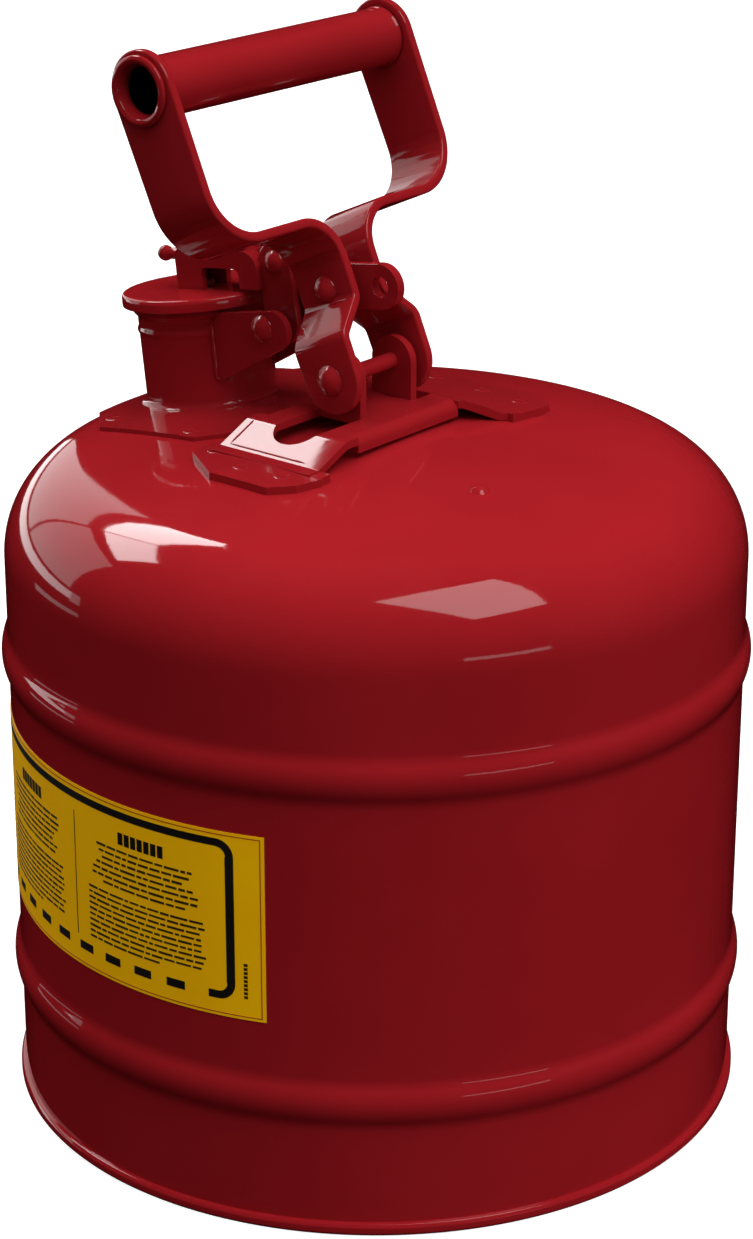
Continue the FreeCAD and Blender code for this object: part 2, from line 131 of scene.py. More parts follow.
def arc(cx, cz, r, a0, a1, n):
    """Points on a circle from angle a0 to a1 in degrees, both ends included."""
    out = []
    for i in range(n + 1):
        a = math.radians(a0 + (a1 - a0) * i / n)
        out.append((cx + r * math.cos(a), cz + r * math.sin(a)))
    return out


def rounded(points, radii, steps=4, closed=True):
    """A polyline with its corners turned into arcs, one radius per point."""
    n = len(points)
    out = []
    for i, p in enumerate(points):
        r = radii[i]
        if r <= 0 or (not closed and i in (0, n - 1)):
            out.append(tuple(p))
            continue
        p = Vector(p)
        a = Vector(points[i - 1]) - p
        b = Vector(points[(i + 1) % n]) - p
        la, lb = a.length, b.length
        a.normalize()
        b.normalize()
        half = a.angle(b) / 2
        back = min(r / math.tan(half), la * 0.49, lb * 0.49) if half > 1e-4 else 0
        r = back * math.tan(half)
        centre = p + (a + b).normalized() * (r / math.sin(half))
        s, e = p + a * back - centre, p + b * back - centre
        turn = s.angle_signed(e)
        for k in range(steps + 1):
            t = -turn * k / steps
            c, q = math.cos(t), math.sin(t)
            out.append((centre.x + s.x * c - s.y * q, centre.y + s.x * q + s.y * c))
    return out


def shown(name, bm, material, body, replaces=(), sharp=32.0):
    """Turns a bmesh in metres into a piece that rides on a body."""
    bmesh.ops.recalc_face_normals(bm, faces=bm.faces[:])
    mesh = bpy.data.meshes.new(name)
    bm.to_mesh(mesh)
    bm.free()
    mesh.shade_smooth()
    mesh.set_sharp_from_angle(angle=math.radians(sharp))
    piece = bpy.data.objects.new(name, mesh)
    scene.collection.objects.link(piece)
    piece.data.materials.append(material)
    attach(piece, body)
    if replaces:
        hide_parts(*replaces)
    return piece


def revolve(profile, steps, place, closed=True, bm=None):
    """Turns (radius, height) points about the local axis; place maps local millimetres to metres."""
    bm = bm or bmesh.new()
    rings = []
    for r, z in profile:
        if r < 1e-6:
            rings.append([bm.verts.new(place(0, 0, z))])
            continue
        ring = []
        for k in range(steps):
            a = 2 * math.pi * k / steps
            ring.append(bm.verts.new(place(r * math.cos(a), r * math.sin(a), z)))
        rings.append(ring)
    follow = rings[1:] + rings[:1] if closed else rings[1:]
    for a, b in zip(rings, follow):
        for k in range(steps):
            m = (k + 1) % steps
            if len(a) == 1 and len(b) == 1:
                continue
            if len(a) == 1:
                bm.faces.new((a[0], b[m], b[k]))
            elif len(b) == 1:
                bm.faces.new((a[k], a[m], b[0]))
            else:
                bm.faces.new((a[k], a[m], b[m], b[k]))
    return bm


def skin(bm, rows):
    """Faces between rows of points that each go round once, with a cap at either end."""
    n = len(rows[0])
    for a, b in zip(rows, rows[1:]):
        for i in range(n):
            m = (i + 1) % n
            bm.faces.new((a[i], b[i], b[m], a[m]))
    bm.faces.new(rows[0])
    bm.faces.new(rows[-1][::-1])


def evaluated_mesh(thing):
    """The mesh that an object shows, as new data."""
    bpy.context.view_layer.update()
    return bpy.data.meshes.new_from_object(thing.evaluated_get(bpy.context.evaluated_depsgraph_get()))


def plate(outline, holes, thick, edge, place, folds=()):
    """A plate with rounded edges. Its outline and holes are flat, and place(x, y, n) puts a point
    of height n above the mid plane. Folds are the y values where it gets an edge to bend at."""
    curve = bpy.data.curves.new("plate_tmp", "CURVE")
    curve.dimensions = "2D"
    curve.fill_mode = "BOTH"
    curve.extrude = thick / 2 - edge
    curve.bevel_depth = edge
    curve.bevel_resolution = 2
    curve.offset = -edge
    for loop in [outline, *holes]:
        spline = curve.splines.new("POLY")
        spline.points.add(len(loop) - 1)
        for point, p in zip(spline.points, loop):
            point.co = (p[0], p[1], 0, 1)
        spline.use_cyclic_u = True
    holder = bpy.data.objects.new("plate_tmp", curve)
    scene.collection.objects.link(holder)
    flat = evaluated_mesh(holder)
    bpy.data.objects.remove(holder)
    bpy.data.curves.remove(curve)
    bm = bmesh.new()
    bm.from_mesh(flat)
    bpy.data.meshes.remove(flat)
    bmesh.ops.remove_doubles(bm, verts=bm.verts[:], dist=1e-4)
    for y in folds:
        everything = bm.verts[:] + bm.edges[:] + bm.faces[:]
        bmesh.ops.bisect_plane(bm, geom=everything, dist=1e-5, plane_co=(0, y, 0), plane_no=(0, 1, 0))
    for v in bm.verts:
        v.co = place(*v.co)
    return bm


def circle(x, y, r, n):
    """A closed circle of n points."""
    return arc(x, y, r, 0, 360, n)[:-1]


class Path:
    """A bent strip's centre line: straight runs and arcs, followed by its own length."""

    def __init__(self, points, radii):
        self.runs = []
        last = Vector(points[0])
        for i in range(1, len(points) - 1):
            p = Vector(points[i])
            d0 = (p - Vector(points[i - 1])).normalized()
            d1 = (Vector(points[i + 1]) - p).normalized()
            ang = d0.angle(d1)
            back = radii[i - 1] * math.tan(ang / 2)
            start = p - d0 * back
            self.runs.append(("line", last, d0, (start - last).length, 0, 0))
            side = 1 if d0.x * d1.y - d0.y * d1.x > 0 else -1
            self.runs.append(("arc", start, d0, radii[i - 1] * ang, radii[i - 1], side))
            last = p + d1 * back
        d = (Vector(points[-1]) - last).normalized()
        self.runs.append(("line", last, d, (Vector(points[-1]) - last).length, 0, 0))
        self.length = sum(r[3] for r in self.runs)

    def at(self, length):
        """Point and left-hand normal at a length along the path."""
        for kind, start, d, size, r, side in self.runs:
            if length <= size or kind == "line" and start is self.runs[-1][1]:
                left = Vector((-d.y, d.x))
                if kind == "line":
                    return start + d * length, left
                t = length / r * side
                centre = start + left * (r * side)
                spin = start - centre
                c, s = math.cos(t), math.sin(t)
                point = centre + Vector((spin.x * c - spin.y * s, spin.x * s + spin.y * c))
                return point, Vector((left.x * c - left.y * s, left.x * s + left.y * c))
            length -= size
        raise ValueError("past the end of the path")

    def bends(self, step_deg):
        """Lengths where the strip needs an edge across it."""
        out, at = [], 0.0
        for kind, _, _, size, r, _ in self.runs:
            if kind == "arc":
                n = max(2, round(math.degrees(size / r) / step_deg))
                out += [at + size * k / n for k in range(n + 1)]
            at += size
        return out


# ---------- materials ----------

def nodes_of(name):
    """A new material, its node tree and its shader."""
    material = bpy.data.materials.new(name)
    material.use_nodes = True
    tree = material.node_tree
    return material, tree, tree.nodes["Principled BSDF"]


def noise(tree, scale, detail=2.0, rough=0.5, distortion=0.0):
    """Noise in object space; scale is in waves per metre."""
    coords = tree.nodes.new("ShaderNodeTexCoord")
    node = tree.nodes.new("ShaderNodeTexNoise")
    node.inputs["Scale"].default_value = scale
    node.inputs["Detail"].default_value = detail
    node.inputs["Roughness"].default_value = rough
    node.inputs["Distortion"].default_value = distortion
    tree.links.new(coords.outputs["Object"], node.inputs["Vector"])
    return node.outputs["Fac"]


def span(tree, value, low, high, to_low, to_high):
    """Maps low..high to to_low..to_high, held at both ends."""
    node = tree.nodes.new("ShaderNodeMapRange")
    tree.links.new(value, node.inputs["Value"])
    for key, number in (("From Min", low), ("From Max", high), ("To Min", to_low), ("To Max", to_high)):
        node.inputs[key].default_value = number
    return node.outputs["Result"]


def ramp(tree, value, stops):
    """A colour ramp of (position, colour) stops."""
    node = tree.nodes.new("ShaderNodeValToRGB")
    tree.links.new(value, node.inputs["Fac"])
    cells = node.color_ramp.elements
    while len(cells) < len(stops):
        cells.new(0.5)
    for cell, (at, colour) in zip(cells, stops):
        cell.position = at
        cell.color = (*colour, 1.0)
    return node.outputs["Color"]


def mix(tree, fac, a, b):
    """Mixes two colours, each a colour or a socket."""
    node = tree.nodes.new("ShaderNodeMix")
    node.data_type = "RGBA"
    tree.links.new(fac, node.inputs["Factor"])
    for socket, value in ((node.inputs["A"], a), (node.inputs["B"], b)):
        if isinstance(value, tuple):
            socket.default_value = (*value, 1.0)
        else:
            tree.links.new(value, socket)
    return node.outputs["Result"]


def add(tree, a, b, kind="ADD"):
    """Adds or otherwise combines two values, each a number or a socket."""
    node = tree.nodes.new("ShaderNodeMath")
    node.operation = kind
    for socket, value in zip(node.inputs, (a, b)):
        if isinstance(value, (int, float)):
            socket.default_value = value
        else:
            tree.links.new(value, socket)
    return node.outputs[0]


def bump(tree, shader, height, strength, distance):
    """Fine relief; distance is in metres."""
    node = tree.nodes.new("ShaderNodeBump")
    node.inputs["Strength"].default_value = strength
    node.inputs["Distance"].default_value = distance
    tree.links.new(height, node.inputs["Height"])
    tree.links.new(node.outputs["Normal"], shader.inputs["Normal"])


def paint(name, dark, light, rough_low, rough_high, peel):
    """Gloss powder coat: slow colour drift, orange peel, dust specks and faint scuffs."""
    material, tree, shader = nodes_of(name)
    drift = ramp(tree, noise(tree, 14, 3.0, 0.6), [(0.3, dark), (0.7, light)])
    specks = span(tree, noise(tree, 1400, 2.0), 0.73, 0.80, 0.0, 1.0)
    colour = mix(tree, specks, drift, tuple(min(1.0, c * 0.55) for c in dark))
    tree.links.new(colour, shader.inputs["Base Color"])
    haze = span(tree, noise(tree, 38, 4.0, 0.65), 0.3, 0.75, rough_low, rough_high)
    scuff = span(tree, noise(tree, 120, 5.0, 0.7, 1.5), 0.66, 0.78, 0.0, 0.12)
    tree.links.new(add(tree, haze, scuff), shader.inputs["Roughness"])
    wave = noise(tree, 330, 2.0, 0.5)
    grain = add(tree, noise(tree, 1500, 2.0), 0.15, "MULTIPLY")
    bump(tree, shader, add(tree, wave, grain), 0.35 * peel, 0.00006)
    shader.inputs["Specular IOR Level"].default_value = 0.5
    return material


def metal(name, dark, light, rough_low, rough_high, scale):
    """Bare metal with blotches and finer marks."""
    material, tree, shader = nodes_of(name)
    blotches = ramp(tree, noise(tree, scale, 4.0), [(0.3, dark), (0.7, light)])
    tree.links.new(blotches, shader.inputs["Base Color"])
    fine = noise(tree, scale * 6, 3.0)
    tree.links.new(span(tree, fine, 0.3, 0.7, rough_low, rough_high), shader.inputs["Roughness"])
    shader.inputs["Metallic"].default_value = 1.0
    bump(tree, shader, fine, 0.3, 0.00004)
    return material


def film(name, dark, light, rough_low, rough_high, grain):
    """Printed film, ink or rubber: a slow drift of colour and a fine grain."""
    material, tree, shader = nodes_of(name)
    slow = noise(tree, 45, 4.0, 0.6)
    tree.links.new(ramp(tree, slow, [(0.3, dark), (0.7, light)]), shader.inputs["Base Color"])
    fine = noise(tree, grain, 3.0)
    tree.links.new(span(tree, fine, 0.3, 0.7, rough_low, rough_high), shader.inputs["Roughness"])
    bump(tree, shader, fine, 0.25, 0.00003)
    return material


# Each: name, darker colour, lighter colour, lowest and highest roughness; then peel, scale or grain.
RED = paint(
    "red_powder_coat", (0.345, 0.0108, 0.0155), (0.390, 0.0132, 0.0188), 0.035, 0.075, 0.4)
# The parts' copy of the same red paint is darker: painted shade for the handle, spout and linkage. It
# also has a rougher finish and deeper peel.
RED_PARTS_SHADED = paint(
    "red_powder_coat_parts_painted_shade", (0.275, 0.0092, 0.0130), (0.335, 0.0115, 0.0162), 0.06, 0.12, 0.7)
STEEL = metal("bare_steel_screen", (0.42, 0.41, 0.39), (0.62, 0.60, 0.57), 0.28, 0.45, 180)
SPRING = metal("spring_steel_wire", (0.20, 0.19, 0.18), (0.36, 0.34, 0.32), 0.25, 0.4, 260)
# Near-black steel that lines the grip tube's bore: painted shade for the dark inside of the tube.
BORE_PAINTED_SHADE = metal("bore_painted_shade_steel", (0.020, 0.018, 0.018), (0.055, 0.048, 0.045), 0.45, 0.65, 220)
BRASS = metal("brass_ring", (0.46, 0.33, 0.13), (0.62, 0.46, 0.20), 0.25, 0.4, 200)
RUBBER = film("black_seal_rubber", (0.012, 0.012, 0.012), (0.03, 0.029, 0.028), 0.5, 0.7, 900)
LABEL_FILM = film("label_yellow_film", (0.94, 0.47, 0.0008), (0.97, 0.52, 0.0012), 0.30, 0.42, 700)
LABEL_SHADER = LABEL_FILM.node_tree.nodes["Principled BSDF"]
LABEL_SHADER.inputs["Specular IOR Level"].default_value = 0.2
# The label's film also glows faintly yellow: painted light that brightens the label beyond what the
# lamps give.
LABEL_SHADER.inputs["Emission Color"].default_value = (1.0, 0.52, 0.0, 1.0)
LABEL_SHADER.inputs["Emission Strength"].default_value = 0.10
INK = film("label_black_ink", (0.006, 0.005, 0.005), (0.014, 0.011, 0.009), 0.35, 0.5, 800)
FINE_INK = film(
    "label_small_print_ink", (0.030, 0.019, 0.004), (0.060, 0.036, 0.006), 0.35, 0.5, 800)
INK_RED = film("label_red_ink", (0.42, 0.05, 0.006), (0.52, 0.08, 0.01), 0.35, 0.5, 800)


# ---------- can ----------

def wall_profile(inset, z_bottom):
    """Outer or inner outline of the can from its lower edge up to the axis."""
    pts = [(BODY_R - inset, z_bottom)]
    flank = 2 * math.atan(RIB_HEIGHT / RIB_HALF)
    both = RIB_HALF / math.sin(flank)
    root, crest = 0.44 * both, 0.56 * both
    deg = math.degrees(flank)
    for z in RIBS:
        last = pts[-1][1]
        steps = max(2, round((z - RIB_HALF - last) / 9))
        pts += [(BODY_R - inset, last + (z - RIB_HALF - last) * k / steps) for k in range(1, steps)]
        xr, xc = BODY_R + root, BODY_R + RIB_HEIGHT - crest
        pts += arc(xr, z - RIB_HALF, root + inset, 180, 180 - deg, 6)
        pts += arc(xc, z, crest - inset, -deg, deg, 12)[1:]
        pts += arc(xr, z + RIB_HALF, root + inset, 180 + deg, 180, 6)[1:]
    last = pts[-1][1]
    pts += [(BODY_R - inset, last + (SHOULDER_Z - last) * k / 4) for k in range(1, 4)]
    meet, centre = crown()
    pts += arc(BODY_R - SHOULDER_R, SHOULDER_Z, SHOULDER_R - inset, 0, meet, 26)
    pts += arc(0, centre, CROWN_R - inset, meet, 90, 30)[1:]
    pts[-1] = (0.0, pts[-1][1])
    return pts


def build_shell():
    """Ribbed wall and domed top in one sheet, with the spout's hole cut through it."""
    lower_edge = 3.0
    outer = wall_profile(0.0, lower_edge)
    inner = wall_profile(WALL, lower_edge)
    bm = revolve(outer + inner[::-1], CAN_STEPS, world)
    piece = shown("can_shell", bm, RED, "can", replaces=["body_shell"], sharp=40)
    cutter_bm = revolve([(0, -60), (SPOUT_R, -60), (SPOUT_R, 10), (0, 10)], RING_STEPS, spout)
    bmesh.ops.recalc_face_normals(cutter_bm, faces=cutter_bm.faces[:])
    cutter_mesh = bpy.data.meshes.new("cutter")
    cutter_bm.to_mesh(cutter_mesh)
    cutter_bm.free()
    cutter = bpy.data.objects.new("cutter", cutter_mesh)
    scene.collection.objects.link(cutter)
    modifier = piece.modifiers.new("spout_hole", "BOOLEAN")
    modifier.object = cutter
    modifier.solver = "EXACT"
    cut = evaluated_mesh(piece)
    piece.modifiers.clear()
    old = piece.data
    piece.data = cut
    cut.name = "can_shell"
    bpy.data.meshes.remove(old)
    bpy.data.objects.remove(cutter)
    cut.set_sharp_from_angle(angle=math.radians(40))


def build_bottom():
    """Recessed pan with a ring bead, and the rolled seam that the can stands on."""
    wall, seam = BODY_R - WALL, 120.25
    pts = [(0, 5.2), (60, 5.6), (88, 6.0), (92, 7.4), (96, 6.0)]
    pts += [(wall - 3.6, 6.0), (wall - 1.4, 3.6), (wall - 1.2, 0.9), (wall - 0.3, 0), (119.3, 0)]
    pts += [(seam, 1.1), (seam, 3.1), (119.6, 4.1), (BODY_R, 4.3), (BODY_R, 3.0)]
    pts += [(wall, 3.0), (wall, 7.0), (96, 7.0), (92, 8.4), (88, 7.0), (60, 6.6), (0, 6.2)]
    radii = [0, 10, 3, 3, 3] + [2.0, 1.5, 0.6, 0.5, 0.8] + [0.9, 0.9, 0.5, 0, 0]
    radii += [0, 0, 3, 3, 3, 10, 0]
    bm = revolve(rounded(pts, radii, 5), CAN_STEPS, world)
    shown("rolled_bottom_seam", bm, RED, "can", replaces=["bottom_pan"], sharp=40)


def build_neck():
    """Spout tube with a low bead and a rolled lip."""
    r = SPOUT_R
    pts = [(r - 1.2, -43), (r, -43), (r, -13.6), (r + 0.65, -12.2), (r, -10.8), (r, -7.6)]
    pts += [(22.6, -6.5), (22.6, -4.7), (22.2, -4.3), (r - 0.6, -4.3), (r - 1.2, -4.9)]
    radii = [0, 0, 1.4, 0.9, 1.4, 1.4, 0.7, 0.3, 0.3, 0.5, 0.4]
    bm = revolve(rounded(pts, radii, 5), SPOUT_STEPS, spout)
    shown("spout_tube", bm, RED_PARTS_SHADED, "can", replaces=["spout_neck"])


def build_cap():
    """Pressed disc with a short skirt."""
    pts = [(0, 0.0), (23.6, 0.0), (25.6, -0.25), (26, -1.4)]
    pts += [(26, -4.2), (24.5, -4.2), (24.4, -1.4), (0, -1.4)]
    bm = revolve(rounded(pts, [0, 4, 0.8, 0.6, 0.35, 0.35, 0.3, 0], 5), SPOUT_STEPS, spout)
    shown("cap_cover", bm, RED, "cap_arm", replaces=["cap_disc"])


def wrapped(bm, a0, a1, z0, z1, r0, r1, n):
    """A thin rectangle bent round the can in n steps, between two azimuths in degrees."""
    section = ((r0, z0), (r1, z0), (r1, z1), (r0, z1))
    rows = []
    for k in range(n + 1):
        a = a0 + (a1 - a0) * k / n
        rows.append([bm.verts.new(on_wall(a, r, z)) for r, z in section])
    skin(bm, rows)


def build_label():
    """The film of the label, wrapped on the wall."""
    bm = bmesh.new()
    wrapped(bm, *LABEL, BODY_R + 0.02, LABEL_TOP_R, 128)
    shown("label_film_sheet", bm, LABEL_FILM, "can", ["warning_label"])


def ink_bar(bm, a0, a1, z0, z1):
    """A printed bar, split so that it follows the curve."""
    wrapped(bm, a0, a1, z0, z1, INK_FROM, INK_TO, max(1, math.ceil(abs(a1 - a0) / 1.2)))


def ink_corner(bm, a, z, turn, radius, width):
    """A quarter ring that joins two border strokes; a and z are its centre."""
    outer = arc(0, 0, radius, turn, turn + 90, 8)
    inner = arc(0, 0, radius - width, turn, turn + 90, 8)
    for k in range(8):
        quad = [outer[k], outer[k + 1], inner[k + 1], inner[k]]
        rows = []
        for r in (INK_FROM, INK_TO):
            rows.append([bm.verts.new(on_wall(a + x * DEG_PER_MM, r, z + y)) for x, y in quad])
        skin(bm, rows)


def text_lines(bm, rng, left, right, top, count, pitch, height, centred=False):
    """Rows of plain bars that stand for lines of small print."""
    gap, least = 0.30, 0.4
    for row in range(count):
        z = top - row * pitch
        if centred:
            short = rng.uniform(0.0, 0.28)
        else:
            short = rng.uniform(0.0, 0.05) if row < count - 1 else 0.35
        width = (right - left) * (1 - short)
        a = left + ((right - left) - width) / 2 if centred else left
        end = a + width
        while a < end - least:
            word = min(rng.uniform(0.7, 3.0), end - a)
            tall = height * rng.uniform(0.82, 1.0)
            ink_bar(bm, a, a + word, z - tall, z)
            a += word + gap


def print_border(bm, left, right, low, high):
    """Top stroke, two side strokes with rounded corners, and a dashed stroke along the foot."""
    top_width, corner_width, radius = 2.5, 2.6, 5.6
    dash_half, dash_height, dash_pitch, stub = 1.6, 2.8, 6.08, 1.6
    bend = radius * DEG_PER_MM
    ink_bar(bm, left + bend, right - bend, high - top_width, high)
    for side, edge in ((-1, left), (1, right)):
        inner = edge - side * BORDER_DEG
        ink_bar(bm, min(edge, inner), max(edge, inner), low + radius, high - radius)
        centre = edge - side * bend
        ink_corner(bm, centre, high - radius, 0 if side > 0 else 90, radius, corner_width)
        ink_corner(bm, centre, low + radius, 270 if side > 0 else 180, radius, corner_width)
        end = centre - side * stub
        ink_bar(bm, min(centre, end), max(centre, end), low, low + corner_width)
    at = right - 9.9
    while at > left + bend + 4:
        ink_bar(bm, at - dash_half, at + dash_half, low, low + dash_height)
        at -= dash_pitch


def build_print():
    """Border, dashes, dividers and rows of bars; no words, letters or signs."""
    rng = random.Random(11)
    black, fine, red = bmesh.new(), bmesh.new(), bmesh.new()
    a0, a1, z0, z1 = LABEL
    left, right = a0 + 4.7, a1 - 4.7
    print_border(black, left, right, 76.3, 129.2)

    panels, divider_half = 4, 0.09
    pitch = (right - left - 2 * BORDER_DEG) / panels
    for k in range(panels):
        mid = right - BORDER_DEG - k * pitch - pitch / 2
        block = mid - 4.4
        while block < mid + 4.2:
            ink_bar(black, block, block + 0.98, 118.2, 122.2)
            block += 1.26
        text_lines(fine, rng, mid - 10.4, mid + 10.4, 116.2, 7, 2.05, 0.86, centred=True)
        text_lines(fine, rng, mid - 11.2, mid + 11.2, 100.4, 10, 1.90, 0.80)
        if k < panels - 1:
            divider = mid - pitch / 2
            ink_bar(fine, divider - divider_half, divider + divider_half, 80.9, 122.7)

    # A column of short marks up the label's edge.
    z = 77.7
    while z < 89:
        ink_bar(fine, a1 - 3.35, a1 - 2.75, z, z + 0.95)
        z += 1.35

    # A thin line round the whole label: its distance from the edge, and its width, both ways.
    inset, line = 0.55, 0.16
    rise, thick = 0.9, 0.3
    ink_bar(red, a0 + inset, a1 - inset, z1 - rise - thick, z1 - rise)
    ink_bar(red, a0 + inset, a1 - inset, z0 + rise, z0 + rise + thick)
    ink_bar(red, a1 - inset - line, a1 - inset, z0 + rise + thick, z1 - rise - thick)
    ink_bar(red, a0 + inset, a0 + inset + line, z0 + rise + thick, z1 - rise - thick)
    shown("label_black_print", black, INK, "can")
    shown("label_small_print", fine, FINE_INK, "can")
    shown("label_red_line", red, INK_RED, "can")


# ---------- handle ----------

def build_strap(sign):
    """Bent side strap of the handle, wider at the grip than at the pivot, with round ends."""
    highest, lowest = 116, -14
    route = [(STRAP_Y, highest), (STRAP_Y, 48.2), (6.6, 48.2), (6.6, 22.3), (17.2, 12.3), (17.2, lowest)]
    bends = Path(route, [17.0, 13.0, 4.5, 4.5])
    low_r, high_r = 11.0, 12.3
    top = highest - GRIP_S
    foot = bends.length + lowest

    def half(length):
        s = bends.at(length)[0].y
        return low_r + (high_r - low_r) * s / GRIP_S

    side = [(x, top - y) for x, y in arc(0, 0, high_r, 0, 90, 12)][::-1]
    steps = 40
    for k in range(1, steps):
        length = top + (foot - top) * k / steps
        side.append((half(length), length))
    side += [(x, foot + y) for x, y in arc(0, 0, low_r, 0, 90, 12)]
    outline = side + [(-x, y) for x, y in side[-2:0:-1]]

    def place(x, length, n):
        p, left = bends.at(min(max(length, 0.0), bends.length))
        q = p + left * n
        return handle(x, q.x * sign, q.y)

    bore = circle(0, top, GRIP_R + 0.05, 48)
    bm = plate(outline, [bore], STRAP_T, 0.75, place, folds=bends.bends(4.0))
    name = "near" if sign < 0 else "far"
    shown("strap_" + name, bm, RED_PARTS_SHADED, "handle", replaces=["handle_strap_" + name], sharp=38)


def on_grip(x, y, z):
    """A point in a frame whose height runs along the grip."""
    return handle(x, z, GRIP_S + y)


def build_grip():
    """Grip tube with flared ends over the straps and a small bead of paint inside them."""
    end = STRAP_Y + STRAP_T / 2
    inner = end - STRAP_T
    half = [(7.4, 0), (7.4, end - 1.2), (8.4, end + 1.4), (9.6, end + 1.9), (10.7, end + 1.4)]
    half += [(10.9, end + 0.5), (10.3, end), (GRIP_R, end), (GRIP_R, inner)]
    half += [(10.0, inner - 0.2), (GRIP_R, inner - 1.4), (GRIP_R, 0)]
    half = rounded(half, [0, 1.5, 0.8, 0.8, 0.6, 0.4, 0.3, 0, 0, 0.3, 1.0, 0], 4, closed=False)
    loop = half + [(r, -y) for r, y in half[::-1]]
    bm = revolve(loop, RING_STEPS, on_grip)
    shown("grip_roller", bm, RED_PARTS_SHADED, "handle", replaces=["grip_tube"], sharp=38)


def build_bore():
    """Near-black steel lining inside the grip tube: painted shade for its dark bore."""
    half = [(7.42, 0), (7.42, 54.5), (7.2, 54.9), (7.0, 54.5), (7.0, 0)]
    loop = half + [(r, -y) for r, y in half[-2:0:-1]]
    shown("grip_bore", revolve(loop, 64, on_grip), BORE_PAINTED_SHADE, "handle", sharp=38)


def build_pin(name, node, body, centre, shank, half, head_r, head_h):
    """Rivet at an (x, z) centre, across the mechanism; its domed heads start at -half and half."""
    bulge = (head_r ** 2 + head_h ** 2) / (2 * head_h)
    lip = math.degrees(math.acos(head_r / bulge)) if bulge > head_r else 0
    low = half + head_h - bulge
    pts = [(shank, 0), (shank, half - 0.02), (head_r + 0.12, half - 0.02), (head_r, half + 0.2)]
    pts += [(r, y + low) for r, y in arc(0, 0, bulge, lip + 3, 90, 14)]
    pts[-1] = (0.0, pts[-1][1])
    loop = pts[::-1] + [(r, -y) for r, y in pts]

    def place(x, y, z):
        return world(centre[0] + x, z, centre[1] + y)

    bm = revolve(loop, 40, place, closed=False)
    shown(name, bm, RED_PARTS_SHADED, body, replaces=[node], sharp=44)


def build_lever_plate(sign):
    """Side plate of the cap lever: a strip rounded at the link pin and the hinge, with a tab."""
    top, low, mid_plane = 6.6, 6.9, 3.45
    outline = [(24.2, 1.4), (24.2, 7.6), (11.0, 7.6), (11.0, 10.9), (30.6, 10.9)]
    outline += arc(LINK[0], LINK[1], top, 160, 0, 16)
    outline += arc(HINGE[0], HINGE[1], low, 0, -180, 18)
    outline.append((31.1, 1.4))
    outline = rounded(outline, [1.0, 1.0, 0.6, 0.6, 1.5] + [0] * 36 + [1.2], 4)

    def place(x, y, n):
        return spout(x, sign * (mid_plane + n), y)

    bm = plate(outline, [circle(HINGE[0], HINGE[1], 2.1, 24)], 2.5, 0.5, place)
    name = "near" if sign < 0 else "far"
    shown("lever_arm_" + name, bm, RED_PARTS_SHADED, "cap_arm", replaces=["lever_plate_" + name])


def build_arrester():
    """Flame arrester: a punched tube hung from a flat rim, with a closed end."""
    bm = bmesh.new()
    around, rows = 56, 44
    low, high, r, rib, sheet = -89.0, -11.0, 18.1, 0.52, 0.4
    grid = []
    for row in range(rows + 1):
        z = low + (high - low) * row / rows
        grid.append([bm.verts.new(spout(x, y, z)) for x, y in circle(0, 0, r, around)])
    cells = []
    for row in range(rows):
        for k in range(around):
            m = (k + 1) % around
            cells.append(bm.faces.new((grid[row][k], grid[row][m], grid[row + 1][m], grid[row + 1][k])))
    bmesh.ops.inset_individual(bm, faces=cells, thickness=rib * MM, use_even_offset=True)
    bmesh.ops.delete(bm, geom=cells, context="FACES_ONLY")
    bmesh.ops.recalc_face_normals(bm, faces=bm.faces[:])
    bmesh.ops.solidify(bm, geom=bm.faces[:], thickness=sheet * MM)
    rim = [(17.8, -11.4), (17.8, -6.9), (18.2, -6.7), (20.0, -6.7)]
    rim += [(20.2, -7.0), (20.0, -7.3), (18.6, -7.4), (18.4, -11.4)]
    revolve(rounded(rim, [0, 0.3, 0.1, 0.1, 0.1, 0.1, 0.4, 0], 3), RING_STEPS, spout, bm=bm)
    end = [(0, -91.9), (15.5, -91.9), (18.4, -90.6), (18.4, -88.6)]
    end += [(17.9, -88.6), (17.9, -90.2), (15.3, -91.4), (0, -91.4)]
    revolve(rounded(end, [0, 2.0, 1.0, 0.1, 0.1, 0.8, 1.6, 0], 4), RING_STEPS, spout, bm=bm)
    shown("arrester_screen", bm, STEEL, "can", ["flame_arrester"], sharp=38)


def on_dome(x, y, lift):
    """Maps local x, y, height to the can's top at one spot, square to its surface."""
    height = dome_z(x, y)
    normal = Vector((x, y, height - dome_z(0, 0) + CROWN_R)).normalized()
    side = Vector((1, 0, 0)).cross(normal).normalized()
    front = normal.cross(side).normalized()
    start = Vector((x, y, height)) + normal * lift

    def place(a, b, n):
        p = start - front * a + side * b + normal * n
        return world(p.x, p.y, p.z)

    return place


def build_spot_welds():
    """Dished spot welds on the saddle's feet and on the flange."""
    dish = [(0.0, 0.04), (0.9, 0.04), (1.5, 0.10), (2.0, 0.16)]
    dish += [(2.5, 0.10), (2.9, -0.05), (2.2, -0.5), (0, -0.5)]
    dish = rounded(dish, [0, 0.8, 0.6, 0.5, 0.5, 0.1, 0, 0], 3)
    saddle_lift, flange_lift = 2.4, 1.4
    feet = [(-22.0, -50.5), (-6.0, -56.5), (9.5, -55.5), (-18.7, 53.5), (3.2, 50.5), (19.8, 48.5)]
    corners = [(-82, -34), (-44, -38), (-82, 34), (-44, 38)]
    bm = bmesh.new()
    for lift, places in ((saddle_lift, feet), (flange_lift, corners)):
        for x, y in places:
            revolve(dish, 28, on_dome(x, y, lift), bm=bm)
    shown("spot_welds", bm, RED_PARTS_SHADED, "can")


def build_pip():
    """The small pip on the top."""
    pip = [(0, 1.35), (1.7, 1.25), (2.9, 0.25), (3.3, -0.2), (2.2, -0.6), (0, -0.6)]
    bm = revolve(rounded(pip, [0, 0.9, 0.5, 0.1, 0, 0], 4), 40, on_dome(58.4, -21.7, 0.0))
    shown("top_pip", bm, RED, "can")


